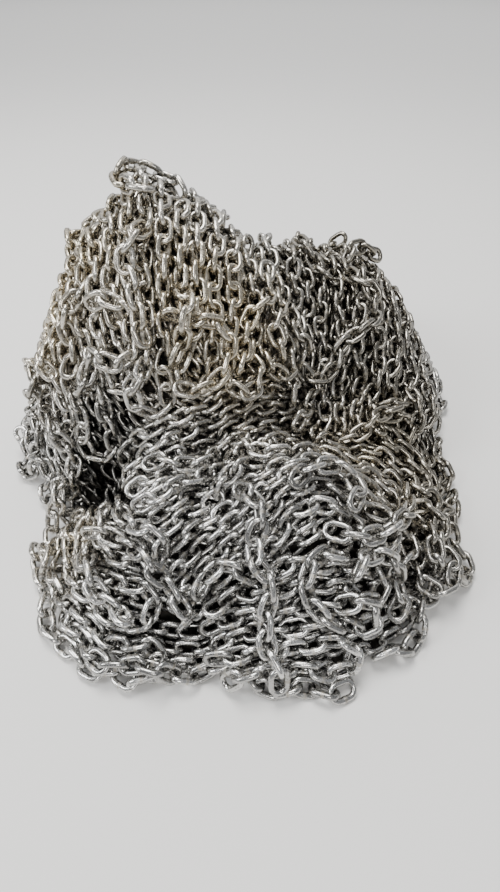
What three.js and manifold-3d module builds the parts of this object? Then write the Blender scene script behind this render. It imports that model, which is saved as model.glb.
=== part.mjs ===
// A heap of bright steel lifting chain, as it lies on a level floor.
// Millimetres, +Z up. The front of the heap faces -Y, and its origin is under the middle of its box.
//
// The heap is one plain core of buried chain, and on it the runs of chain that lie open to view.
// A run is one solid: each of its links is a flat plate of the link's true width, turned a quarter
// turn from its neighbours and notched where the next link passes through it.
import * as THREE from "three";
import { mergeVertices } from "three/addons/utils/BufferGeometryUtils.js";
import Module from "manifold-3d";

// Chain sizes
const WIRE = 10; // diameter of the round wire that a link is bent from
const PITCH = 3 * WIRE; // inside length of a link, and the step from link to link
const LINK_WIDTH = 3.4 * WIRE; // outside width of a link
const PLATE_THICKNESS = 1.2 * WIRE; // thickness of a link's plate at its middle
const PLATE_LENGTH = 1.9 * WIRE; // stretch of a link that keeps its full width
const LINK_LEAN = Math.PI / 4; // links lie on their edges, leaning this far either way

// How runs lie
const CLEARANCE = 0.3; // gap kept between solids that rest on each other
const SIDE_CLEARANCE = 0.7; // gap left between runs side by side, so that one can sink past the other
const REST_HEIGHT = 0.5 * LINK_WIDTH * Math.sin(LINK_LEAN) + CLEARANCE; // middle of a run over its seat
const RUN_SPACING = 2.8 * WIRE; // least distance between the middles of two runs
const LAYER_STEP = 3 * WIRE; // height of one layer of runs over another before they settle
const ROUTE_WAVE = [0.4 * WIRE, 1.5 * WIRE]; // least and most that runs wander off their routes
const ROUTE_WAVELENGTH = [9 * WIRE, 21 * WIRE];

// Shape of the core, as lobes that run into each other. Each lobe is a cone with a round top: its
// middle, its half widths, its height and how round its top is. The distances are in wire diameters.
const TALL_PILE = { x: -16, y: 19, halfX: 34, halfY: 33, height: 50, round: 0.9 }; // back left
const FRONT_MOUND = { x: 8, y: -18, halfX: 25, halfY: 24, height: 20, round: 0.5 };
const SHELF = { x: 18, y: 32, halfX: 28, halfY: 35, height: 33, round: 0.75 }; // back right
const APRON = { x: -15, y: -16, halfX: 20, halfY: 25, height: 16, round: 0.6 }; // front left
const SADDLE = { x: 25, y: -1, halfX: 17, halfY: 17, height: 10, round: 0.6 }; // right
const RIDGE = { x: 4, y: 27, halfX: 19, halfY: 22, height: 38, round: 0.8 }; // from the pile to the shelf
const LOBES = [TALL_PILE, FRONT_MOUND, SHELF, APRON, SADDLE, RIDGE];
const LOBE_BLEND = 2.5; // how softly the lobes run into each other
const HOLLOW = { x: -25.5, y: -8.5, radius: 4.5, depth: 10 }; // dark pocket in the left side
const CORE_CENTRE = { x: -2, y: 12 };
const CORE_SECTORS = 48;
const CORE_RINGS = 14;

// Settling
const SETTLING_PASSES = 260;
const CALM_PASSES = 60; // the last passes, in which nothing sinks any more
const SINK_STEP = 0.06 * WIRE;
const PAIR_REFRESH = 10; // passes between two searches for runs that lie near each other
const PAIR_REACH = 7 * WIRE;
const HOME_PULL = 0.02; // how strongly a run is drawn back to its route
const SEAT_SEARCH = 30; // how far a run looks for what it rests on
const SEAT_STEPS = 40;
const SEAT_LIFT = 0.4; // step by which a run that still touches is raised
const CLOSE_ENOUGH = 0.8;
const SHORTEST_PITCH = 0.9; // slack links close up to this share of the pitch
const SHARPEST_BEND = 0.93; // two links in a row span at least this share of their length

const random = seededRandom(21);

// A repeatable stream of numbers from 0 to 1
function seededRandom(seed) {
  let state = seed;
  return () => {
    state = (state * 1664525 + 1013904223) % 4294967296;
    return state / 4294967296;
  };
}

// A random number in a range
const between = (least, most) => least + (most - least) * random();

// Height of one lobe over a place, in wire diameters
function lobeHeight(lobe, x, y) {
  const reach = Math.hypot((x - lobe.x) / lobe.halfX, (y - lobe.y) / lobe.halfY);
  const fall = (Math.hypot(reach, lobe.round) - lobe.round) / (Math.hypot(1, lobe.round) - lobe.round);
  return lobe.height * (1 - fall);
}

// Height of the core over a place; it falls below zero outside the heap
function coreHeight(xMm, yMm) {
  const x = xMm / WIRE;
  const y = yMm / WIRE;
  const heights = LOBES.map((lobe) => lobeHeight(lobe, x, y));
  const highest = Math.max(...heights);
  const blended = heights.reduce((sum, height) => sum + Math.exp((height - highest) / LOBE_BLEND), 0);
  const dip = HOLLOW.depth * Math.exp(-(((x - HOLLOW.x) ** 2 + (y - HOLLOW.y) ** 2) / HOLLOW.radius ** 2));
  return WIRE * (highest + LOBE_BLEND * Math.log(blended) - dip);
}

// The core's corners in plan and height: for each sector, from the top outwards to the rim
function coreSpokes() {
  return Array.from({ length: CORE_SECTORS }, (_, sector) => {
    const angle = (2 * Math.PI * sector) / CORE_SECTORS;
    const radius = rimRadius(angle);
    const rim = new THREE.Vector2(Math.cos(angle), Math.sin(angle)).multiplyScalar(radius);
    const corners = Array.from({ length: CORE_RINGS + 1 }, (__, ring) => {
      const x = CORE_CENTRE.x * WIRE + (rim.x * ring) / CORE_RINGS;
      const y = CORE_CENTRE.y * WIRE + (rim.y * ring) / CORE_RINGS;
      return new THREE.Vector3(x, y, ring === CORE_RINGS ? 0 : coreHeight(x, y));
    });
    return { rim, corners };
  });
}

const SPOKES = coreSpokes();

// Height of what a run rests on: the flat facets of the core, or the floor round it
function groundHeight(x, y) {
  const from = new THREE.Vector2(x - CORE_CENTRE.x * WIRE, y - CORE_CENTRE.y * WIRE);
  const turn = (from.angle() / (2 * Math.PI)) * CORE_SECTORS;
  const one = SPOKES[Math.floor(turn) % CORE_SECTORS];
  const two = SPOKES[(Math.floor(turn) + 1) % CORE_SECTORS];
  const area = one.rim.cross(two.rim);
  const alongOne = (CORE_RINGS * from.cross(two.rim)) / area;
  const alongTwo = (CORE_RINGS * one.rim.cross(from)) / area;
  const outward = alongOne + alongTwo;
  const ring = Math.floor(outward);
  if (ring >= CORE_RINGS) return 0;
  const innerShare = ring + 1 - outward;
  const farShare = alongTwo / (ring + 1);
  const nearShare = 1 - innerShare - farShare;
  if (nearShare >= 0) {
    return (
      innerShare * one.corners[ring].z +
      nearShare * one.corners[ring + 1].z +
      farShare * two.corners[ring + 1].z
    );
  }
  const outerShare = outward - ring;
  const backShare = alongOne / ring;
  return (
    backShare * one.corners[ring].z +
    outerShare * two.corners[ring + 1].z +
    (1 - backShare - outerShare) * two.corners[ring].z
  );
}

function groundNormal(x, y) {
  const step = 0.5 * WIRE;
  const slopeX = (groundHeight(x + step, y) - groundHeight(x - step, y)) / (2 * step);
  const slopeY = (groundHeight(x, y + step) - groundHeight(x, y - step)) / (2 * step);
  return new THREE.Vector3(-slopeX, -slopeY, 1).normalize();
}

// Distance from the core's centre to its rim, in one direction
function rimRadius(angle) {
  let inside = 0;
  let outside = 80 * WIRE;
  while (outside - inside > 0.01) {
    const middle = (inside + outside) / 2;
    const x = CORE_CENTRE.x * WIRE + middle * Math.cos(angle);
    const y = CORE_CENTRE.y * WIRE + middle * Math.sin(angle);
    if (coreHeight(x, y) > 0) inside = middle;
    else outside = middle;
  }
  return inside;
}

// A closed body from its corners and its triangles
function bodyGeometry(corners, triangles) {
  const geometry = new THREE.BufferGeometry();
  geometry.setAttribute("position", new THREE.Float32BufferAttribute(corners, 3));
  geometry.setIndex(triangles);
  geometry.computeVertexNormals();
  return geometry;
}

// The core: rings of corners from its top to its rim, closed by a flat base on the floor
function coreGeometry() {
  const top = SPOKES[0].corners[0];
  const corners = [...top.toArray(), top.x, top.y, 0];
  const cornerIndex = (sector, ring) => {
    if (ring === 0) return 0;
    return 1 + (sector % CORE_SECTORS) * CORE_RINGS + ring;
  };
  for (const spoke of SPOKES) {
    for (const corner of spoke.corners.slice(1)) corners.push(...corner.toArray());
  }
  const triangles = [];
  for (let sector = 0; sector < CORE_SECTORS; sector += 1) {
    for (let ring = 0; ring < CORE_RINGS; ring += 1) {
      const inner = cornerIndex(sector, ring);
      const outer = cornerIndex(sector, ring + 1);
      const outerNext = cornerIndex(sector + 1, ring + 1);
      triangles.push(inner, outer, outerNext);
      if (ring > 0) triangles.push(inner, outerNext, cornerIndex(sector + 1, ring));
    }
    triangles.push(1, cornerIndex(sector + 1, CORE_RINGS), cornerIndex(sector, CORE_RINGS));
  }
  return bodyGeometry(corners, triangles);
}

// Routes, in wire diameters and seen from above

// Part of a circle or an ellipse, from one angle to another in degrees
function arcRoute(x, y, radiusX, radiusY, fromDegrees, toDegrees) {
  const steps = 8;
  return Array.from({ length: steps + 1 }, (_, step) => {
    const angle = THREE.MathUtils.degToRad(fromDegrees + ((toDegrees - fromDegrees) * step) / steps);
    return [x + radiusX * Math.cos(angle), y + radiusY * Math.sin(angle)];
  });
}

// Part of the heap's foot, along the core's rim, from one angle to another in degrees
function footRoute(fromDegrees, toDegrees) {
  const steps = 8;
  const insideRim = 0.3;
  return Array.from({ length: steps + 1 }, (_, step) => {
    const angle = THREE.MathUtils.degToRad(fromDegrees + ((toDegrees - fromDegrees) * step) / steps);
    const reach = rimRadius(angle) / WIRE - insideRim;
    return [CORE_CENTRE.x + reach * Math.cos(angle), CORE_CENTRE.y + reach * Math.sin(angle)];
  });
}

// Runs that each go up one line of a family and back down the next
function foldedRuns(name, lines) {
  return Array.from({ length: lines.length / 2 }, (_, index) => ({
    name: `${name}_${index + 1}`,
    layer: 0,
    route: [...lines[2 * index], ...[...lines[2 * index + 1]].reverse()],
  }));
}

// A family of lines side by side: each corner of the first line moves by its own step from line to line
function family(count, corners, steps) {
  return Array.from({ length: count }, (_, index) =>
    corners.map(([x, y], corner) => [x + steps[corner][0] * index, y + steps[corner][1] * index]),
  );
}

// A family of arcs round one centre, each further out
function nestedArcs(count, { x, y }, radiusX, radiusY, step, fromDegrees, toDegrees) {
  return Array.from({ length: count }, (_, index) =>
    arcRoute(x, y, radiusX + step * index, radiusY + step * index, fromDegrees, toDegrees),
  );
}

// Lines that fall over the crest of the tall pile. The crest lies further forwards at its ends, and
// the lines end in a ragged edge that climbs to the right.
function fallingLines() {
  const count = 14;
  const middle = { x: TALL_PILE.x, y: TALL_PILE.y + 9 };
  const top = { left: middle.x - 23, step: 3.4, bow: 0.012 };
  const foot = { left: middle.x - 19, step: 3.1, y: -2.5, climbFrom: -10, climb: 0.6, ragged: 1.5 };
  return Array.from({ length: count }, (_, index) => {
    const topX = top.left + top.step * index;
    const topY = middle.y - top.bow * (topX - middle.x) ** 2;
    const footX = foot.left + foot.step * index;
    const climbed = foot.climb * Math.max(0, footX - foot.climbFrom);
    const footY = foot.y + climbed + (index % 4 < 2 ? foot.ragged : -foot.ragged);
    return [[topX, topY], [(2 * topX + footX) / 3, topY / 2], [footX, footY]];
  });
}

// Lines that cross the shelf from front to back
function shelfLines() {
  const count = 10;
  const left = SHELF.x - 15.5;
  const step = 3.6;
  const sway = 1;
  return Array.from({ length: count }, (_, index) => {
    const x = left + step * index;
    const reach = (SHELF.halfY - 2) * Math.sqrt(1 - ((x - SHELF.x) / SHELF.halfX) ** 2);
    const middle = reach / 3;
    return [
      [x, SHELF.y - reach],
      [x + sway, SHELF.y - middle],
      [x - sway, SHELF.y + middle],
      [x, SHELF.y + reach],
    ];
  });
}

// Every run: its name, the layer it settles from, its route and, where it hangs straight, the small
// share of the usual wandering that it keeps
const ROUTES = [
  ...foldedRuns("falling_run", fallingLines()),
  // Band of runs that crosses the middle, from the low left to the upper right
  ...foldedRuns(
    "band_run",
    family(
      6,
      [[-18.5, -22], [-11, -17], [-3, -11.5], [5, -6], [13, -1]],
      [[-0.5, 2.7], [-0.8, 2.3], [-0.8, 1.9], [-0.8, 2.3], [-1, 2.9]],
    ),
  ),
  // Runs that arch over the front mound
  ...foldedRuns(
    "arch_run",
    family(
      6,
      [[-10.8, -33.8], [-3.4, -29.6], [2.8, -25.8], [8.3, -22.6], [12.7, -21.3], [16.3, -22.6], [19, -26.4]],
      [[-1.2, 2.2], [-1.5, 2.5], [-1.2, 2.7], [-0.2, 2.8], [1.3, 2.6], [2.6, 1.6], [2.7, 0.3]],
    ),
  ),
  ...foldedRuns(
    "shoulder_run",
    family(
      4,
      [[10, -4.5], [18, -4.5], [26, -9.5], [31, -18], [31.5, -26]],
      [[1.2, 3], [2, 3.1], [2.4, 2.6], [1.2, 1.4], [0.8, 0.2]],
    ),
  ),
  // Runs that lie level across the front, and the one that hangs over them
  ...foldedRuns(
    "front_run",
    family(
      6,
      [[-8, -30.5], [-1, -29], [6, -28.6], [14, -28], [21, -27.8]],
      [[0.5, -2.1], [0, -2.2], [0, -2.2], [-0.3, -2.2], [-1, -2.1]],
    ),
  ),
  {
    name: "hanging_run",
    layer: 2,
    sway: 0.15,
    route: [[-1, -19], [0.9, -22.5], [1.6, -27], [2.3, -32], [3, -37], [3.4, -41.5]],
  },
  // Runs that swirl round the low front left corner
  ...foldedRuns("swirl_run", nestedArcs(6, { x: -13, y: -17 }, 8, 8, 3.2, 174, 264)),
  // Run that falls on the left of the hollow
  { name: "column_run", layer: 0, route: [[-33, 0], [-33.5, -6], [-32, -12], [-29, -18]] },
  // Runs over the shelf
  ...foldedRuns("shelf_run", shelfLines()),
  ...foldedRuns("shelf_side_run", nestedArcs(2, SHELF, 21.5, 26.5, 2.6, -74, 80)),
  // Runs that lie round the far sides of the tall pile
  ...foldedRuns("summit_run", nestedArcs(2, TALL_PILE, 11, 11, 3.8, 12, 168)),
  ...foldedRuns("round_run", nestedArcs(6, TALL_PILE, 19, 19, 2.5, 50, 208)),
  // Runs at the foot
  { name: "foot_run_front", layer: 0, route: footRoute(236, 290) },
  { name: "foot_run_right", layer: 0, route: footRoute(294, 338) },
  { name: "foot_run_far_right", layer: 0, route: footRoute(344, 404) },
  { name: "foot_run_back", layer: 0, route: footRoute(52, 112) },
  { name: "foot_run_left", layer: 0, route: footRoute(118, 180) },
  { name: "foot_run_near_left", layer: 0, route: footRoute(186, 230) },
  // Loose ends and curls that lie over the others
  { name: "crest_curl", layer: 1, route: arcRoute(12, -20, 4.5, 3.5, 200, -60) },
  { name: "corner_curl", layer: 1, route: arcRoute(20, -30, 4.6, 3.4, 190, -70) },
  { name: "front_curl", layer: 1, route: arcRoute(12, -32, 3.8, 3.4, 60, 330) },
  { name: "loose_run_right", layer: 1, route: [[12, -24], [18, -26], [23, -23], [26, -17], [27, -10]] },
  { name: "loose_run_left", layer: 1, route: [[-25, -23], [-20, -24], [-15, -27], [-12, -30], [-8, -33]] },
  { name: "loose_run_corner", layer: 1, route: [[-27, -22], [-24, -27], [-23, -32], [-17, -36]] },
  { name: "loose_run_saddle", layer: 1, route: [[28, 6], [23, 1], [17, -1], [12, -6]] },
  { name: "loose_run_middle", layer: 1, route: [[-4, 0], [-1, 5], [2, 12], [3, 20]] },
  { name: "loose_run_band", layer: 1, route: [[-16, -12], [-10, -13], [-5, -10], [0, -10], [5, -13]] },
  { name: "falling_curl", layer: 1, route: arcRoute(-24, 1.5, 3.8, 4.2, 100, -190) },
  { name: "fall_end_curl", layer: 1, route: arcRoute(-9, 1, 4.6, 3.4, 150, -130) },
  { name: "falling_loose_run_1", layer: 1, route: [[-29, 20], [-26, 13], [-29, 6], [-32, 1]] },
  { name: "falling_loose_run_2", layer: 1, route: [[-9, 18], [-12, 10], [-9, 4], [-14, -2]] },
  { name: "falling_loose_run_3", layer: 1, route: [[-19, 24], [-16, 15], [-19, 7], [-17, -1]] },
  { name: "summit_curl", layer: 1, route: arcRoute(-16, 20, 5.5, 4.6, 20, 300) },
  { name: "shelf_loose_run_1", layer: 1, route: [[6, 13], [11, 9], [18, 12], [23, 20], [20, 29], [27, 36]] },
  { name: "shelf_loose_run_2", layer: 1, route: [[8, 46], [13, 39], [10, 31], [16, 23]] },
  { name: "shelf_curl", layer: 1, route: arcRoute(21, 45, 5, 5, 30, 300) },
  { name: "back_loose_run", layer: 1, route: [[-4, 40], [-11, 44], [-18, 41], [-25, 42]] },
];

// Joints of a run, one pitch apart along its route, laid over the ground
function layJoints(run) {
  const curve = new THREE.CatmullRomCurve3(
    run.route.map(([x, y]) => new THREE.Vector3(x * WIRE, y * WIRE, 0)),
    false,
    "centripetal",
  );
  const phase = between(0, 2 * Math.PI);
  const wave = between(...ROUTE_WAVE) * (run.sway ?? 1);
  const wavelength = between(...ROUTE_WAVELENGTH);
  const lift = REST_HEIGHT + run.layer * LAYER_STEP + between(0, WIRE);
  const samples = 300;
  const joints = [];
  const length = curve.getLength();
  let before = null;
  let travelled = 0;
  for (let sample = 0; sample <= samples; sample += 1) {
    const share = sample / samples;
    const point = curve.getPointAt(share);
    const tangent = curve.getTangentAt(share);
    const aside = wave * Math.sin(phase + (2 * Math.PI * share * length) / wavelength);
    point.x -= tangent.y * aside;
    point.y += tangent.x * aside;
    point.z = groundHeight(point.x, point.y) + lift * (1 / groundNormal(point.x, point.y).z);
    if (before) travelled += point.distanceTo(before);
    if (travelled >= joints.length * PITCH) joints.push(point.clone());
    before = point;
  }
  return joints;
}

// Nearest places of two straight links, as shares of their lengths
function nearestShares(a, b, c, d) {
  const along = b.clone().sub(a);
  const other = d.clone().sub(c);
  const gap = a.clone().sub(c);
  const aa = along.dot(along);
  const bb = other.dot(other);
  const ab = along.dot(other);
  const ac = along.dot(gap);
  const bc = other.dot(gap);
  const spread = aa * bb - ab * ab;
  let first = spread > 1e-9 ? (ab * bc - ac * bb) / spread : 0.5;
  first = THREE.MathUtils.clamp(first, 0, 1);
  const second = THREE.MathUtils.clamp((ab * first + bc) / bb, 0, 1);
  first = THREE.MathUtils.clamp((ab * second - ac) / aa, 0, 1);
  return [first, second];
}

// All pairs of links of the heap that lie near each other and aren't neighbours in a run
function nearbyPairs(runs) {
  const links = runs.flatMap((run, runIndex) =>
    run.joints.slice(1).map((joint, index) => ({
      runIndex,
      index,
      start: run.joints[index],
      end: joint,
      middle: run.joints[index].clone().lerp(joint, 0.5),
    })),
  );
  const pairs = [];
  links.forEach((one, place) => {
    for (const two of links.slice(place + 1)) {
      const neighbours = one.runIndex === two.runIndex && Math.abs(one.index - two.index) < 3;
      if (!neighbours && one.middle.distanceTo(two.middle) < PAIR_REACH) pairs.push([one, two]);
    }
  });
  return pairs;
}

// Moves two links apart to the least spacing of runs
function pushApart([one, two]) {
  const [first, second] = nearestShares(one.start, one.end, two.start, two.end);
  const onOne = one.start.clone().lerp(one.end, first);
  const onTwo = two.start.clone().lerp(two.end, second);
  const apart = onOne.sub(onTwo);
  const distance = apart.length();
  if (distance >= RUN_SPACING) return;
  if (distance < 1e-3) apart.set(0, 0, 1);
  apart.setLength((RUN_SPACING - distance) / 2);
  one.start.addScaledVector(apart, 1 - first);
  one.end.addScaledVector(apart, first);
  two.start.addScaledVector(apart, second - 1);
  two.end.addScaledVector(apart, -second);
}

// Keeps two joints within a range of distances
function holdDistance(one, two, least, most) {
  const apart = two.clone().sub(one);
  const distance = apart.length();
  const wanted = THREE.MathUtils.clamp(distance, least, most);
  apart.multiplyScalar((distance - wanted) / distance / 2);
  one.add(apart);
  two.sub(apart);
}

// The corners of one link's plate: four at either end of the stretch that keeps its full width
function plateCorners(run, link) {
  const start = run.joints[link];
  const end = run.joints[link + 1];
  const middle = start.clone().lerp(end, 0.5);
  const along = end.clone().sub(start).normalize();
  const side = groundNormal(middle.x, middle.y).cross(along).normalize();
  const upright = along.clone().cross(side);
  const lean = side.multiplyScalar(Math.cos(LINK_LEAN)).addScaledVector(upright, Math.sin(LINK_LEAN));
  const across = along.clone().cross(lean);
  const wide = run.halfWidths[link];
  const thin = PLATE_THICKNESS / 2;
  const [leanReach, acrossReach] = link % 2 === 0 ? [wide, thin] : [thin, wide];
  const tips = [
    lean.clone().multiplyScalar(leanReach),
    across.clone().multiplyScalar(acrossReach),
    lean.clone().multiplyScalar(-leanReach),
    across.clone().multiplyScalar(-acrossReach),
  ];
  return [-PLATE_LENGTH / 2, PLATE_LENGTH / 2].flatMap((place) =>
    tips.map((tip) => middle.clone().addScaledVector(along, place).add(tip)),
  );
}

// Lifts a link until its plate is clear of the core and the floor
function liftOffGround(run, link) {
  const corners = plateCorners(run, link);
  const edges = [0, 1, 2, 3].map((tip) => corners[tip].clone().lerp(corners[tip + 4], 0.5));
  const depths = [...corners, ...edges].map((point) => groundHeight(point.x, point.y) + CLEARANCE - point.z);
  const depth = Math.max(...depths);
  if (depth <= 0) return;
  const middle = run.joints[link].clone().lerp(run.joints[link + 1], 0.5);
  const normal = groundNormal(middle.x, middle.y);
  run.joints[link].addScaledVector(normal, depth * normal.z);
  run.joints[link + 1].addScaledVector(normal, depth * normal.z);
}

// Lets all runs sink, slide and push each other until they rest on the ground and on each other
function settle(runs) {
  for (const run of runs) {
    run.home = run.joints.map((joint) => joint.clone());
    run.halfWidths = run.joints.slice(1).map(() => LINK_WIDTH / 2);
  }
  let pairs = [];
  for (let pass = 0; pass < SETTLING_PASSES; pass += 1) {
    if (pass % PAIR_REFRESH === 0) pairs = nearbyPairs(runs);
    const calm = pass >= SETTLING_PASSES - CALM_PASSES;
    for (const run of runs) {
      run.joints.forEach((joint, index) => {
        if (!calm) joint.z -= SINK_STEP;
        joint.x += HOME_PULL * (run.home[index].x - joint.x);
        joint.y += HOME_PULL * (run.home[index].y - joint.y);
      });
      for (let index = 2; index < run.joints.length; index += 1) {
        holdDistance(run.joints[index - 2], run.joints[index], 2 * SHARPEST_BEND * PITCH, 2 * PITCH);
      }
      for (let index = 1; index < run.joints.length; index += 1) {
        holdDistance(run.joints[index - 1], run.joints[index], SHORTEST_PITCH * PITCH, PITCH);
      }
    }
    pairs.forEach(pushApart);
    for (const run of runs) run.halfWidths.forEach((_, link) => liftOffGround(run, link));
  }
}

// Half the outside width of each link, narrowed where another run lies close beside it
function narrowWhereTight(runs) {
  for (const [one, two] of nearbyPairs(runs)) {
    const [first, second] = nearestShares(one.start, one.end, two.start, two.end);
    const onOne = one.start.clone().lerp(one.end, first);
    const onTwo = two.start.clone().lerp(two.end, second);
    const room = (onOne.distanceTo(onTwo) - SIDE_CLEARANCE) / 2;
    for (const link of [one, two]) {
      const widths = runs[link.runIndex].halfWidths;
      widths[link.index] = Math.min(widths[link.index], room);
    }
  }
}

// One run as a closed body: two rings of four corners for each link, and a cap at either end
function runGeometry(run) {
  const plates = run.halfWidths.map((_, link) => plateCorners(run, link));
  const corners = plates.flat().flatMap((corner) => corner.toArray());
  const triangles = [];
  const rings = corners.length / 12;
  for (let ring = 1; ring < rings; ring += 1) {
    for (let corner = 0; corner < 4; corner += 1) {
      const next = (corner + 1) % 4;
      const behind = 4 * (ring - 1);
      const ahead = 4 * ring;
      triangles.push(behind + corner, behind + next, ahead + next);
      triangles.push(behind + corner, ahead + next, ahead + corner);
    }
  }
  const last = 4 * (rings - 1);
  triangles.push(0, 2, 1, 0, 3, 2);
  triangles.push(last, last + 1, last + 2, last, last + 2, last + 3);
  return bodyGeometry(corners, triangles);
}

const steel = () => new THREE.MeshStandardMaterial({ color: 0x9a9a96, roughness: 0.38, metalness: 0.9 });
const buriedSteel = new THREE.MeshStandardMaterial({ color: 0x3a3936, roughness: 0.7, metalness: 0.6 });

const wasm = await Module();
wasm.setup();

// A geometry as a solid that can be measured against others
function solidOf(geometry) {
  const bare = geometry.clone();
  bare.deleteAttribute("normal");
  const merged = mergeVertices(bare);
  return new wasm.Manifold(
    new wasm.Mesh({
      numProp: 3,
      vertProperties: merged.attributes.position.array,
      triVerts: new Uint32Array(merged.index.array),
    }),
  );
}

// Lifts a run until it is clear of those seated before it, or lowers it until it rests on something
function seatRun(run, seated, loose) {
  const gapTo = (other) => run.solid.minGap(other.solid, SEAT_SEARCH);
  const nearestGap = (others) => Math.min(...others.map(gapTo));
  for (let step = 0; step < SEAT_STEPS; step += 1) {
    const overFloor = run.solid.boundingBox().min[2];
    const gap = Math.min(overFloor, nearestGap(seated));
    const clear = overFloor > 0 && seated.every((other) => run.solid.intersect(other.solid).isEmpty());
    const drop = Math.min(gap, nearestGap(loose)) - CLEARANCE;
    if (clear && (gap < CLOSE_ENOUGH || drop <= 0)) return;
    const move = clear ? -drop : SEAT_LIFT;
    run.solid = run.solid.translate([0, 0, move]);
    for (const joint of run.joints) joint.z += move;
  }
}

const core = { name: "heap_core", geometry: coreGeometry(), material: buriedSteel };
const runs = ROUTES.map((run) => ({ ...run, joints: layJoints(run) }));
settle(runs);
narrowWhereTight(runs);
for (const piece of [core, ...runs]) piece.solid = solidOf(piece.geometry ?? runGeometry(piece));
const lowestPoint = (run) => run.solid.boundingBox().min[2];
runs.sort((one, two) => one.layer - two.layer || lowestPoint(one) - lowestPoint(two));
runs.forEach((run, place) => seatRun(run, [core, ...runs.slice(0, place)], runs.slice(place + 1)));
for (const run of runs) {
  const others = runs.filter((other) => other !== run);
  seatRun(run, [core, ...others], []);
}

const heap = new THREE.Group();
for (const piece of [core, ...runs]) {
  const mesh = new THREE.Mesh(piece.geometry ?? runGeometry(piece), piece.material ?? steel());
  mesh.name = piece.name;
  heap.add(mesh);
}

// The origin goes under the middle of the heap's box
const middle = new THREE.Box3().setFromObject(heap).getCenter(new THREE.Vector3());
heap.position.set(-middle.x, -middle.y, 0);

export default heap;
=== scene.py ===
import math

import bpy
import numpy as np
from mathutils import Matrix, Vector
from mathutils.bvhtree import BVHTree
from mathutils.kdtree import KDTree


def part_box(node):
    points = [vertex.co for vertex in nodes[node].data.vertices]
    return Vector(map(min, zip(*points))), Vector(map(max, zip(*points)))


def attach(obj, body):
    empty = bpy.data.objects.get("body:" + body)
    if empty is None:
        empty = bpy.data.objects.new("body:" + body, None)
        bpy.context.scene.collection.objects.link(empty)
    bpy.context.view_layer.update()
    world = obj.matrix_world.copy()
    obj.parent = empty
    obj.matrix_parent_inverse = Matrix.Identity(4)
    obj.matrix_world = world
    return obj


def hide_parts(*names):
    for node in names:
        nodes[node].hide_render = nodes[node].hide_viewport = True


# Link
WIRE = 0.010  # diameter of the round wire that a link is bent from
PITCH = 3 * WIRE
LINK_WIDTH = 3.4 * WIRE
END_RADIUS = (LINK_WIDTH - WIRE) / 2  # of the wire's middle line, round either end of a link
LEG_HALF = (PITCH + WIRE) / 2 - END_RADIUS  # half the straight part of a leg
FLOOR_GAP = 0.0004  # between the floor and the lowest point of a link
WELD = [  # in the middle of one leg: place along it in wires, swelling as a share, and look of a weld
    (0.32, 0.0, 0.0),
    (0.14, 0.07, 1.0),
    (0.0, 0.05, 1.0),
    (-0.14, 0.07, 1.0),
    (-0.32, 0.0, 0.0),
]

# Link plates in the frame's solids
PLATE_LENGTH = 1.9 * WIRE  # of the plate's full-width stretch
PLATE_THICKNESS = 1.2 * WIRE
PLATE_EDGES = 4  # that lie along the link
PLATE_REACH = 1.1 * LINK_WIDTH  # more than the way between any two of those edges
CORNER_GRID = 1e-5  # corners are told apart down to this
LENGTH_SLACK = 2e-5  # of an edge's length
LEVEL_SLACK = 1e-4  # between the middles of a plate's edges, along the link
PARALLEL = 0.9999  # least cosine between two edges of one plate

# How unevenly the links of a run are rolled, in radians
ROLL_SPREAD = 0.32  # where a run starts
ROLL_KEPT = 0.85  # share of a link's roll that the next link keeps
ROLL_STEP = 0.17  # spread of the change from one link to the next

# Buried chain that shows between the runs
UNDER_DEPTH = 1.2 * WIRE  # middle of the under layer, below the face of the frame's core
UNDER_SPACING = 2.8 * WIRE
UNDER_PITCH = 0.985 * PITCH  # least way from one link of a row to the next
UNDER_LEAN = math.radians(45)  # of its links, to either side by turns
UNDER_LEAN_SPREAD = 0.08  # radians
UNDER_WAVES = 7  # that a row makes on its way round the heap
UNDER_WAVE_HEIGHT = 0.5 * WIRE
UNDER_LEAST_HEIGHT = 1.4 * WIRE  # of a row's middle, above the floor
UNDER_PAINTED_SHADE = 0.02  # painted shade on the buried chain: the share of the steel's colour that is traded for near black
UNDER_SECTORS = 240  # directions from the core's middle in which a row is laid
UNDER_STEP = 0.004  # by which the core's face is followed outwards
NESTLE_HEIGHT = 0.8 * WIRE  # how far an under link rises where it has room between the runs over it
NESTLE_FROM = 0.6 * WIRE  # distance from the middle of the nearest run at which it starts to rise
NESTLE_TO = 1.8 * WIRE
# The pocket's links get painted shade, nearly black, for the shadow in the hollow.
POCKET = {"place": (-0.237, -0.215), "radius": 0.055, "painted_shade": 0.92}  # hollow in the left side
POCKET_FADE = 1.2  # share of the pocket's painted shade that goes with each further radius

# Dark inside of the heap: painted shade, a near black sheet where the chain inside lies in shadow
DARK_DEPTH = 2.4 * WIRE  # below the face of the frame's core
DARK_LEAST_HEIGHT = 0.002  # above the floor
DARK_SECTORS = 72
DARK_RINGS = 26
DARK_STEP = 0.002  # by which the edge of the core is looked for

# Looking for the core's face
SIGHT_HEIGHT = 1.0  # above the whole heap
RIM_RISE = 0.5  # how much the outward direction rises where it is guessed past the core's edge

# Places where the steel has a warm, yellowish cast
WARM_SPOTS = [
    {"place": (-0.04, -0.07, 0.36), "radius": 0.16, "share": 0.8},
    {"place": (0.02, -0.10, 0.27), "radius": 0.10, "share": 0.4},
    {"place": (-0.36, 0.02, 0.30), "radius": 0.14, "share": 1.0},
    {"place": (-0.27, 0.05, 0.46), "radius": 0.13, "share": 0.8},
    {"place": (0.30, -0.16, 0.10), "radius": 0.16, "share": 0.9},
    {"place": (0.22, 0.20, 0.32), "radius": 0.18, "share": 0.5},
    {"place": (-0.10, 0.45, 0.20), "radius": 0.20, "share": 0.7},
    {"place": (-0.30, -0.32, 0.08), "radius": 0.10, "share": 0.5},
]
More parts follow.
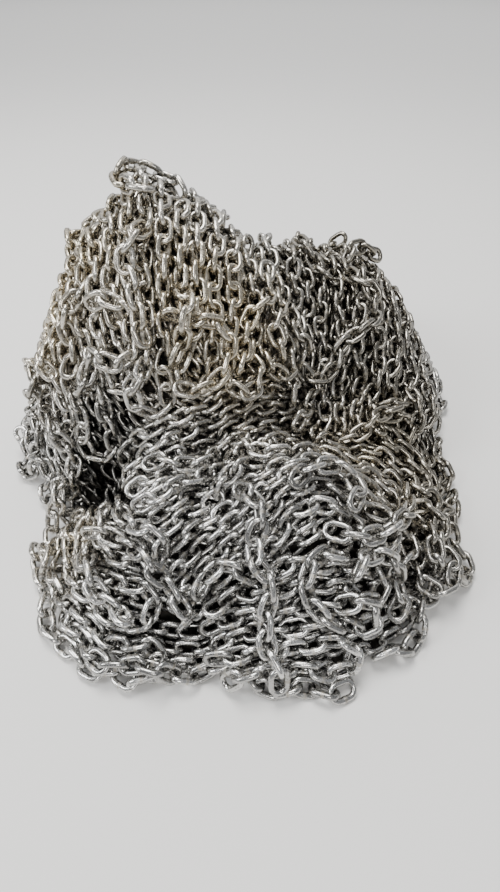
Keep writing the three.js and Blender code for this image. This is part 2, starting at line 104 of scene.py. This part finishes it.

# Places where the steel is matt and dark, partly with dried oil and partly with painted shade, most of all on
# the right side away from the lamps
OIL_AND_SHADE_SPOTS = [
    {"place": (0.36, 0.02, 0.22), "radius": 0.28, "share": 1.0},
    {"place": (0.22, 0.30, 0.36), "radius": 0.26, "share": 0.9},
    {"place": (0.44, -0.24, 0.06), "radius": 0.18, "share": 0.9},
    {"place": (-0.27, 0.05, 0.46), "radius": 0.14, "share": 0.6},
    {"place": (-0.36, -0.08, 0.16), "radius": 0.14, "share": 0.5},
]

# Steel: colours, how strongly they show, and finish
LINK_GREYS = [(0.0, (0.34, 0.335, 0.325)), (0.5, (0.51, 0.505, 0.49)), (1.0, (0.72, 0.715, 0.70))]
WARM_CAST = {"colour": (0.70, 0.62, 0.47), "strength": 1.7}
SPECKS = [(0.36, (0.50, 0.48, 0.45)), (0.46, (1, 1, 1))]
# colour of the oil patches, which also carry painted shade
OIL_AND_SHADE_CAST = {"colour": (0.20, 0.185, 0.155), "strength": 0.75}
WELD_CAST = {"colour": (0.40, 0.36, 0.29), "strength": 0.5}
# painted shade on the inner side of each link's wire, where the links shadow one another
INNER_SHADE_CAST = {"colour": (0.12, 0.115, 0.105), "strength": 0.24}
# painted shade: the near black that buried links are blended towards
PAINTED_SHADE_COLOUR = (0.05, 0.048, 0.044)
SMOOTHEST = 0.12  # roughness of the smoothest wire that could be
ROUGHER_CLOUDS = 0.24  # added where the noise is strongest
ROUGHER_WELD = 0.2  # added on a weld
BUMP = {"strength": 0.08, "distance": 0.0004}

# Noise on the steel and on the dark inside: waves in a metre, and detail
WARM_NOISE = (14, 3)
SPECK_NOISE = (420, 3)
ROUGHNESS_NOISE = (160, 3)
BUMP_NOISE = (700, 2)
INSIDE_SHADE_NOISE = (90, 3)

# Dark inside: colours and finish of its painted shade
INSIDE_SHADE = [(0.35, (0.010, 0.009, 0.008)), (0.7, (0.040, 0.036, 0.030))]
INSIDE_SHADE_METALLIC = 0.3
INSIDE_SHADE_ROUGHNESS = 0.8
INSIDE_SHADE_SPECULAR = 0.2

# Studio
FLOOR_HALF = 20.0
FLOOR_COLOUR = (0.78, 0.77, 0.75)
FLOOR_ROUGHNESS = 0.8
SKY_COLOUR = (0.80, 0.82, 0.85)
SKY_STRENGTH = 0.50
LIGHTS = [
    {"name": "overhead", "place": (-0.5, 0.8, 4.2), "aim": (0.0, 0.0, 0.1), "size": (1.9, 1.9),
     "power": 205, "colour": (1.0, 0.99, 0.97)},
    {"name": "left_window", "place": (-3.8, -1.2, 3.0), "aim": (0.0, 0.0, 0.15), "size": (1.4, 2.4),
     "power": 152, "colour": (0.97, 0.985, 1.0)},
    {"name": "front_lamp", "place": (0.4, -4.4, 4.0), "aim": (0.0, 0.0, 0.15), "size": (1.6, 1.6),
     "power": 100, "colour": (1.0, 0.985, 0.96)},
    {"name": "far_panel", "place": (0.0, 10.0, 4.5), "aim": (0.0, 10.0, 0.0), "size": (16.0, 14.0),
     "power": 700, "colour": (1.0, 1.0, 1.0)},
]

# Camera
CAMERA_PLACE = Vector((0.02, -0.83, 0.80))
CAMERA_AIM = Vector((0.02, -0.18, 0.15))
SENSOR = 36  # millimetres along the image's long side
LENS = 20.2

SEED = 11

rng = np.random.default_rng(SEED)

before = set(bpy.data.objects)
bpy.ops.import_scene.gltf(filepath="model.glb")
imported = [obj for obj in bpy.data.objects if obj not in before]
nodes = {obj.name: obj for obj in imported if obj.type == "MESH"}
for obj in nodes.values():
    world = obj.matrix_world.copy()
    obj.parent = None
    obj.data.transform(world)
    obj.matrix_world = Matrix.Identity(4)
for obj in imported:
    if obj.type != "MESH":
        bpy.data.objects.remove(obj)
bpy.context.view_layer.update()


# Reading the runs

def corners_and_edges(node):
    """A node's corners without doubles, and its edges as pairs of them."""
    mesh = node.data
    points = np.empty(3 * len(mesh.vertices))
    mesh.vertices.foreach_get("co", points)
    points = points.reshape(-1, 3)
    keys = np.round(points / CORNER_GRID).astype(np.int64)
    _, first, index = np.unique(keys, axis=0, return_index=True, return_inverse=True)
    edges = np.empty(2 * len(mesh.edges), np.int32)
    mesh.edges.foreach_get("vertices", edges)
    pairs = np.unique(np.sort(index.ravel()[edges.reshape(-1, 2)], axis=1), axis=0)
    return points[first], pairs


def plates_of(node):
    """Each link's plate of a run: its middle, its direction and the direction of its width."""
    points, pairs = corners_and_edges(node)
    sides = points[pairs[:, 1]] - points[pairs[:, 0]]
    lengths = np.linalg.norm(sides, axis=1)
    kept = np.abs(lengths - PLATE_LENGTH) < LENGTH_SLACK
    middles = points[pairs[kept]].mean(axis=1)
    units = sides[kept] / lengths[kept, None]
    plates = []
    free = np.ones(len(middles), bool)
    for one in range(len(middles)):
        if not free[one]:
            continue
        offsets = middles - middles[one]
        level = np.abs(offsets @ units[one]) < LEVEL_SLACK
        parallel = np.abs(units @ units[one]) > PARALLEL
        near = np.linalg.norm(offsets, axis=1) < PLATE_REACH
        group = np.flatnonzero(free & level & parallel & near)
        if len(group) != PLATE_EDGES:
            continue
        free[group] = False
        corners = middles[group]
        centre = corners.mean(axis=0)
        reach = np.linalg.norm(corners - centre, axis=1)
        widest = corners[np.argmax(np.abs(reach - PLATE_THICKNESS / 2))] - centre
        plates.append((centre, units[one], widest / np.linalg.norm(widest)))
    return plates


def link_tree():
    """The middles of all the links of the runs, for finding the nearest."""
    middles = [plate[0] for plates in RUN_PLATES.values() for plate in plates]
    tree = KDTree(len(middles))
    for index, middle in enumerate(middles):
        tree.insert(middle, index)
    tree.balance()
    return tree


# Reading the core

def core_tree():
    """The core's faces, for finding where a line of sight meets them."""
    mesh = nodes["heap_core"].data
    corners = [vertex.co.copy() for vertex in mesh.vertices]
    return BVHTree.FromPolygons(corners, [tuple(face.vertices) for face in mesh.polygons])


def core_middle():
    """The middle of the core, seen from above."""
    low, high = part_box("heap_core")
    return (low.x + high.x) / 2, (low.y + high.y) / 2


def beside_middle(angle, reach):
    """A place seen from above, in a direction and at a reach from the core's middle."""
    return CORE_X + reach * math.cos(angle), CORE_Y + reach * math.sin(angle)


def surface(x, y):
    """The core's face over a place and its outward direction, or None outside the core."""
    place, normal, _, _ = CORE.ray_cast(Vector((x, y, SIGHT_HEIGHT)), Vector((0.0, 0.0, -1.0)))
    if place is None:
        return None
    return place, normal if normal.z > 0 else -normal


def smooth_normal(x, y):
    """Outward direction of the core's face, averaged over one pitch."""
    total = Vector((0.0, 0.0, 0.0))
    for side_x, side_y in ((0, 0), (1, 0), (-1, 0), (0, 1), (0, -1)):
        found = surface(x + side_x * PITCH / 2, y + side_y * PITCH / 2)
        total += found[1] if found else Vector((side_x, side_y, RIM_RISE)).normalized()
    return total.normalized()


def core_profile(angle):
    """The way down the core's face from its middle in one direction, with the reach at each step of it."""
    travelled = 0.0
    profile = []
    found = surface(*beside_middle(angle, 0))
    while found is not None:
        profile.append((travelled, UNDER_STEP * len(profile)))
        before = found[0]
        found = surface(*beside_middle(angle, UNDER_STEP * len(profile)))
        if found is not None:
            travelled += (found[0] - before).length
    return np.array(profile)


def core_reach(angle):
    """How far the core goes from its middle in one direction."""
    reach = 0.0
    while surface(*beside_middle(angle, reach + DARK_STEP)):
        reach += DARK_STEP
    return reach


# Shapes

def link_shape(arc_steps, sides, weld):
    """One link in its own plane: its points, its faces, and for each point its weld and its inner share,
    which says how much painted shade it gets.
    """
    stations = []
    for end in (1, -1):
        for step in range(arc_steps + 1):
            turn = -end * math.pi / 2 + math.pi * step / arc_steps
            out_x, out_y = math.cos(turn), math.sin(turn)
            stations.append((end * LEG_HALF + END_RADIUS * out_x, END_RADIUS * out_y, out_x, out_y, 0.0, 0.0))
        if end == 1:
            stations += [(place * WIRE, END_RADIUS, 0.0, 1.0, swell, share) for place, swell, share in weld]
    x, y, out_x, out_y, swell, share = np.array(stations).T
    around = 2 * math.pi * np.arange(sides) / sides
    radius = WIRE / 2 * (1 + swell)[:, None]
    out = radius * np.cos(around)
    up = radius * np.sin(around)
    points = np.stack([x[:, None] + out * out_x[:, None], y[:, None] + out * out_y[:, None], up], axis=-1)
    # 1 on the side of the wire that faces the link's middle: where the painted shade of the inner sides goes
    inner = np.tile((1 - np.cos(around)) / 2, len(stations))
    ring, corner = np.meshgrid(np.arange(len(stations)), np.arange(sides), indexing="ij")
    next_ring = (ring + 1) % len(stations)
    next_corner = (corner + 1) % sides
    faces = np.stack([ring * sides + corner, next_ring * sides + corner,
                      next_ring * sides + next_corner, ring * sides + next_corner], axis=-1)
    return points.reshape(-1, 3), faces.reshape(-1, 4), np.repeat(share, sides), inner


def rolls(count):
    """How far each link of a run is rolled out of its even place: a slow, seeded wander."""
    wander = np.empty(count)
    angle = rng.normal(0, ROLL_SPREAD)
    for index in range(count):
        angle = ROLL_KEPT * angle + rng.normal(0, ROLL_STEP)
        wander[index] = angle
    return wander


def frames_of(plates):
    """One place and one 3 by 3 turn for each link, with the links a little unevenly rolled."""
    places, along, wide = (np.array(part) for part in zip(*plates))
    wide -= along * (wide * along).sum(axis=1, keepdims=True)
    wide /= np.linalg.norm(wide, axis=1, keepdims=True)
    upright = np.cross(along, wide)
    roll = rolls(len(plates))[:, None]
    rolled_wide = wide * np.cos(roll) + upright * np.sin(roll)
    rolled_upright = upright * np.cos(roll) - wide * np.sin(roll)
    return places, np.stack([along, rolled_wide, rolled_upright], axis=-1)


def add_values(mesh, name, values):
    """Gives each point of a mesh a value that a material can read."""
    layer = mesh.attributes.new(name, "FLOAT", "POINT")
    layer.data.foreach_set("value", np.asarray(values, np.float32))


def spot_share(points, spots):
    """How strongly each point is touched by a list of spots, from 0 to 1."""
    total = np.zeros(len(points))
    for spot in spots:
        reach = np.linalg.norm(points - np.array(spot["place"]), axis=1) / spot["radius"]
        total += spot["share"] * np.exp(-reach ** 2)
    return np.clip(total, 0, 1)


def quad_mesh(name, points, faces):
    """A smooth mesh of four-sided faces."""
    mesh = bpy.data.meshes.new(name)
    mesh.vertices.add(len(points))
    mesh.vertices.foreach_set("co", points.astype(np.float32).ravel())
    mesh.loops.add(faces.size)
    mesh.loops.foreach_set("vertex_index", faces.astype(np.int32).ravel())
    mesh.polygons.add(len(faces))
    mesh.polygons.foreach_set("loop_start", np.arange(0, faces.size, faces.shape[1], dtype=np.int32))
    mesh.update(calc_edges=True)
    mesh.shade_smooth()
    return mesh


def add_object(name, data):
    """An object of the scene, with a mesh, a light or a camera as its data."""
    thing = bpy.data.objects.new(name, data)
    bpy.context.scene.collection.objects.link(thing)
    return thing


def chain_piece(name, shape, plates, painted_shade):
    """One piece of all the links of a run or row, none of them below the floor."""
    points, faces, weld, inner = shape
    places, turns = frames_of(plates)
    count = len(places)
    flips = rng.choice([-1.0, 1.0], size=(count, 1))
    local = np.repeat(points[None], count, axis=0)
    local[:, :, 0] *= flips
    local[:, :, 1] *= flips
    world = np.einsum("nij,npj->npi", turns, local) + places[:, None]
    world[:, :, 2] += np.maximum(0, FLOOR_GAP - world[:, :, 2].min(axis=1))[:, None]
    world = world.reshape(-1, 3)
    all_faces = faces[None] + len(points) * np.arange(count)[:, None, None]
    mesh = quad_mesh(name, world, all_faces.reshape(-1, 4))
    add_values(mesh, "tone", np.repeat(rng.random(count), len(points)))
    add_values(mesh, "weld", np.tile(weld, count))
    # painted shade: how much of it the inner side of the wire gets
    add_values(mesh, "inner", np.tile(inner, count))
    # painted shade of buried links, nearly black in the pocket
    add_values(mesh, "painted_shade", np.repeat(painted_shade, len(points)))
    add_values(mesh, "warm", spot_share(world, WARM_SPOTS))
    # dried oil and painted shade: darker, matt patches, mostly on the right side
    add_values(mesh, "oil_and_shade", spot_share(world, OIL_AND_SHADE_SPOTS))
    mesh.materials.append(STEEL)
    return add_object(name, mesh)


# Buried rows

def nestled(place, normal):
    """How far an under link rises at a place on the core's face, between the runs that lie over it."""
    offset = RUN_LINKS.find(place)[0] - place
    aside = (offset - normal * offset.dot(normal)).length
    share = min(max((aside - NESTLE_FROM) / (NESTLE_TO - NESTLE_FROM), 0), 1)
    return NESTLE_HEIGHT * share


def under_entry(angle, reach):
    """Where an under row passes below a place on the core's face, and the outward direction there."""
    x, y = beside_middle(angle, reach)
    found = surface(x, y)
    if found is None:
        return None
    normal = smooth_normal(x, y)
    place = found[0] - (UNDER_DEPTH - nestled(found[0], normal)) * normal
    place.z = max(place.z, UNDER_LEAST_HEIGHT)
    return np.array(place), np.array(normal)


def under_row(wanted, profiles):
    """A closed row at an even way down the core's face, slightly waved, with None where the face ends."""
    phase = rng.uniform(0, 2 * math.pi)
    row = []
    for sector, profile in enumerate(profiles):
        angle = 2 * math.pi * sector / UNDER_SECTORS
        waved = wanted + UNDER_WAVE_HEIGHT * math.sin(UNDER_WAVES * angle + phase)
        if waved > profile[-1, 0]:
            row.append(None)
        else:
            row.append(under_entry(angle, np.interp(waved, profile[:, 0], profile[:, 1])))
    return row


def under_rows():
    """Rows that follow the core round, at even steps down its face, the first half a step down."""
    profiles = [core_profile(2 * math.pi * sector / UNDER_SECTORS) for sector in range(UNDER_SECTORS)]
    longest = max(profile[-1, 0] for profile in profiles)
    count = math.ceil(longest / UNDER_SPACING - 0.5)
    return [under_row((index + 0.5) * UNDER_SPACING, profiles) for index in range(count)]


def stretches(row):
    """Splits a closed row at its empty places."""
    if all(entry is not None for entry in row):
        return [row + row[:1]]
    start = next(index for index, entry in enumerate(row) if entry is None)
    found, current = [], []
    for entry in row[start:] + row[:start + 1]:
        if entry is not None:
            current.append(entry)
            continue
        if len(current) > 1:
            found.append(current)
        current = []
    return found


def plates_along(row):
    """Links one after another along a row of places, leaning to either side by turns."""
    spots, normals = (np.array(part) for part in zip(*row))
    steps = np.linalg.norm(np.diff(spots, axis=0), axis=1)
    travelled = np.concatenate([[0], np.cumsum(steps)])
    count = int(travelled[-1] / UNDER_PITCH)
    if count < 2:
        return []
    at = np.linspace(0, travelled[-1], count + 1)
    ends = np.stack([np.interp(at, travelled, spots[:, axis]) for axis in range(3)], axis=1)
    tops = np.stack([np.interp(at, travelled, normals[:, axis]) for axis in range(3)], axis=1)
    plates = []
    for index in range(count):
        along = ends[index + 1] - ends[index]
        along /= np.linalg.norm(along)
        side = np.cross(tops[index] + tops[index + 1], along)
        side /= np.linalg.norm(side)
        upright = np.cross(along, side)
        lean = (UNDER_LEAN if index % 2 == 0 else -UNDER_LEAN) + rng.normal(0, UNDER_LEAN_SPREAD)
        wide = side * math.cos(lean) + upright * math.sin(lean)
        plates.append(((ends[index] + ends[index + 1]) / 2, along, wide))
    return plates


def painted_shade_of(plate):
    """How much painted shade a buried link gets: hardly darker than the others, but nearly black in the
    pocket.
    """
    x, y = POCKET["place"]
    reach = math.hypot(plate[0][0] - x, plate[0][1] - y) / POCKET["radius"]
    share = min(max(1 - POCKET_FADE * (reach - 1), 0), 1)
    return UNDER_PAINTED_SHADE + (POCKET["painted_shade"] - UNDER_PAINTED_SHADE) * share


# Materials

def new_material(name):
    """A material with its node tree and its shader."""
    material = bpy.data.materials.new(name)
    material.use_nodes = True
    tree = material.node_tree
    return material, tree, tree.nodes["Principled BSDF"]


def value_of(tree, name):
    """A value that the points of the mesh carry."""
    node = tree.nodes.new("ShaderNodeAttribute")
    node.attribute_name = name
    return node.outputs["Fac"]


def number(tree, operation, one, two):
    """A sum or product of two numbers or sockets."""
    node = tree.nodes.new("ShaderNodeMath")
    node.operation = operation
    for socket, value in zip(node.inputs, (one, two)):
        if isinstance(value, (int, float)):
            socket.default_value = value
        else:
            tree.links.new(value, socket)
    return node.outputs["Value"]


def ramp(tree, share, stops):
    """A colour that goes from one stop to the next, for two or three stops."""
    node = tree.nodes.new("ShaderNodeValToRGB")
    elements = node.color_ramp.elements
    while len(elements) < len(stops):
        elements.new(stops[1][0])
    for element, (place, colour) in zip(elements, stops):
        element.position = place
        element.color = (*colour, 1)
    tree.links.new(share, node.inputs["Fac"])
    return node.outputs["Color"]


def blend(tree, share, one, two, mode="MIX"):
    """Two colours or sockets put together, the second one as strongly as the share says."""
    node = tree.nodes.new("ShaderNodeMix")
    node.data_type = "RGBA"
    node.blend_type = mode
    for name, value in (("Factor", share), ("A", one), ("B", two)):
        if isinstance(value, (int, float)):
            node.inputs[name].default_value = value
        elif isinstance(value, tuple):
            node.inputs[name].default_value = (*value, 1)
        else:
            tree.links.new(value, node.inputs[name])
    return node.outputs["Result"]


def cast_over(tree, share, base, cast):
    """A colour with a cast laid over it, as strongly as its strength and the share say."""
    return blend(tree, number(tree, "MULTIPLY", share, cast["strength"]), base, cast["colour"])


def noise(tree, scale_and_detail):
    """Cloud over the object's own place, from about 0.3 to 0.7."""
    place = tree.nodes.new("ShaderNodeTexCoord")
    cloud = tree.nodes.new("ShaderNodeTexNoise")
    cloud.inputs["Scale"].default_value, cloud.inputs["Detail"].default_value = scale_and_detail
    tree.links.new(place.outputs["Object"], cloud.inputs["Vector"])
    return cloud.outputs["Fac"]


def steel_material():
    """Drawn steel wire: each link its own grey, warm patches, matt patches of dried oil and painted shade,
    heat colours at the weld, painted shade on the inner sides of the links and on buried links.
    """
    material, tree, shader = new_material("chain_steel")
    greys = ramp(tree, value_of(tree, "tone"), LINK_GREYS)
    patches = number(tree, "MULTIPLY", value_of(tree, "warm"), noise(tree, WARM_NOISE))
    coloured = cast_over(tree, patches, greys, WARM_CAST)
    spotted = blend(tree, 1.0, coloured, ramp(tree, noise(tree, SPECK_NOISE), SPECKS), "MULTIPLY")
    # matt oil patches with painted shade, darkest on the right side
    oiled_and_shaded = cast_over(tree, value_of(tree, "oil_and_shade"), spotted, OIL_AND_SHADE_CAST)
    welded = cast_over(tree, value_of(tree, "weld"), oiled_and_shaded, WELD_CAST)
    # painted shade on the inner sides of the links
    inside = cast_over(tree, value_of(tree, "inner"), welded, INNER_SHADE_CAST)
    # painted shade on buried links, nearly black in the pocket
    shaded = blend(tree, value_of(tree, "painted_shade"), inside, PAINTED_SHADE_COLOUR)
    tree.links.new(shaded, shader.inputs["Base Color"])
    shader.inputs["Metallic"].default_value = 1.0
    clouds = number(tree, "MULTIPLY", noise(tree, ROUGHNESS_NOISE), ROUGHER_CLOUDS)
    roughness = number(tree, "ADD", clouds, SMOOTHEST)
    rough_weld = number(tree, "MULTIPLY", value_of(tree, "weld"), ROUGHER_WELD)
    tree.links.new(number(tree, "ADD", roughness, rough_weld), shader.inputs["Roughness"])
    bump = tree.nodes.new("ShaderNodeBump")
    bump.inputs["Strength"].default_value = BUMP["strength"]
    bump.inputs["Distance"].default_value = BUMP["distance"]
    tree.links.new(noise(tree, BUMP_NOISE), bump.inputs["Height"])
    tree.links.new(bump.outputs["Normal"], shader.inputs["Normal"])
    return material


def inside_shade_material():
    """Painted shadow deep in the heap: a near black sheet with faint noise."""
    material, tree, shader = new_material("buried_chain")
    tree.links.new(ramp(tree, noise(tree, INSIDE_SHADE_NOISE), INSIDE_SHADE), shader.inputs["Base Color"])
    shader.inputs["Metallic"].default_value = INSIDE_SHADE_METALLIC
    shader.inputs["Roughness"].default_value = INSIDE_SHADE_ROUGHNESS
    shader.inputs["Specular IOR Level"].default_value = INSIDE_SHADE_SPECULAR
    return material


def floor_material():
    """Plain pale floor."""
    material, _, shader = new_material("pale_floor")
    shader.inputs["Base Color"].default_value = (*FLOOR_COLOUR, 1)
    shader.inputs["Roughness"].default_value = FLOOR_ROUGHNESS
    return material


RUN_PLATES = {name: plates_of(node) for name, node in nodes.items() if name != "heap_core"}
RUN_LINKS = link_tree()
CORE = core_tree()
CORE_X, CORE_Y = core_middle()
STEEL = steel_material()
SHADE_MATERIAL = inside_shade_material()
VISIBLE_LINK = link_shape(arc_steps=7, sides=9, weld=WELD)
HIDDEN_LINK = link_shape(arc_steps=5, sides=7, weld=[])


# Pieces

def dress_runs():
    """The runs of chain that lie open to view."""
    for name, plates in RUN_PLATES.items():
        piece = chain_piece(f"{name}_links", VISIBLE_LINK, plates, np.zeros(len(plates)))
        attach(piece, "root")
        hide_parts(name)
    print("visible links", sum(len(plates) for plates in RUN_PLATES.values()))


def dress_under_layer():
    """The buried chain that shows between the runs."""
    total = 0
    for index, row in enumerate(under_rows()):
        plates = [plate for stretch in stretches(row) for plate in plates_along(stretch)]
        if not plates:
            continue
        total += len(plates)
        painted_shade = [painted_shade_of(plate) for plate in plates]
        piece = chain_piece(f"buried_links_{index + 1}", HIDDEN_LINK, plates, painted_shade)
        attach(piece, "root")
    print("under links", total)


def dark_point(x, y):
    """Where the dark inside lies below a place on the core's face."""
    spot = surface(x, y)[0] - smooth_normal(x, y) * DARK_DEPTH
    return Vector((spot.x, spot.y, max(spot.z, DARK_LEAST_HEIGHT)))


def dress_core():
    """The dark inside of the heap, painted shade where the chain inside lies in shadow: a closed shape that
    follows the core below its face.
    """
    top, normal = surface(CORE_X, CORE_Y)
    points = [top - normal * DARK_DEPTH]
    for sector in range(DARK_SECTORS):
        angle = 2 * math.pi * sector / DARK_SECTORS
        reach = core_reach(angle)
        for ring in range(1, DARK_RINGS + 1):
            points.append(dark_point(*beside_middle(angle, reach * ring / DARK_RINGS)))
    base = len(points)
    points.append(Vector((CORE_X, CORE_Y, DARK_LEAST_HEIGHT)))
    starts = [1 + sector * DARK_RINGS for sector in range(DARK_SECTORS)]
    sectors = list(zip(starts, starts[1:] + starts[:1]))
    faces = []
    for near, far in sectors:
        faces.append((0, near, far))
        for ring in range(DARK_RINGS - 1):
            faces.append((near + ring, near + ring + 1, far + ring + 1, far + ring))
    faces += [(base, far + DARK_RINGS - 1, near + DARK_RINGS - 1) for near, far in sectors]
    mesh = bpy.data.meshes.new("dark_inside")
    mesh.from_pydata([tuple(point) for point in points], [], faces)
    mesh.shade_smooth()
    # painted shade for the shadowed inside of the heap
    mesh.materials.append(SHADE_MATERIAL)
    piece = add_object("dark_inside", mesh)
    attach(piece, "root")
    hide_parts("heap_core")


# Studio

def make_floor():
    """One large square on the ground."""
    mesh = bpy.data.meshes.new("floor")
    sides = ((-1, -1), (1, -1), (1, 1), (-1, 1))
    corners = [(side_x * FLOOR_HALF, side_y * FLOOR_HALF, 0) for side_x, side_y in sides]
    mesh.from_pydata(corners, [], [(0, 1, 2, 3)])
    mesh.materials.append(floor_material())
    floor = add_object("floor", mesh)


def make_light(name, place, aim, size, power, colour):
    """A flat, evenly bright panel that faces its aim."""
    data = bpy.data.lights.new(name, "AREA")
    data.shape = "RECTANGLE"
    data.size, data.size_y = size
    data.energy = power
    data.color = colour
    light = add_object(name, data)
    light.location = place
    light.rotation_euler = (Vector(aim) - Vector(place)).to_track_quat("-Z", "Y").to_euler()


def make_sky():
    """Even, faint light from all round."""
    world = bpy.data.worlds.new("studio")
    world.use_nodes = True
    background = world.node_tree.nodes["Background"]
    background.inputs["Color"].default_value = (*SKY_COLOUR, 1)
    background.inputs["Strength"].default_value = SKY_STRENGTH
    bpy.context.scene.world = world


def make_camera():
    """The photograph's side and angle of view."""
    data = bpy.data.cameras.new("camera")
    data.sensor_fit = "AUTO"
    data.sensor_width = SENSOR
    data.lens = LENS
    camera = add_object("camera", data)
    camera.location = CAMERA_PLACE
    camera.rotation_euler = (CAMERA_AIM - CAMERA_PLACE).to_track_quat("-Z", "Y").to_euler()
    bpy.context.scene.camera = camera


make_camera()
make_floor()
for light in LIGHTS:
    make_light(**light)
make_sky()
dress_runs()
dress_under_layer()
dress_core()
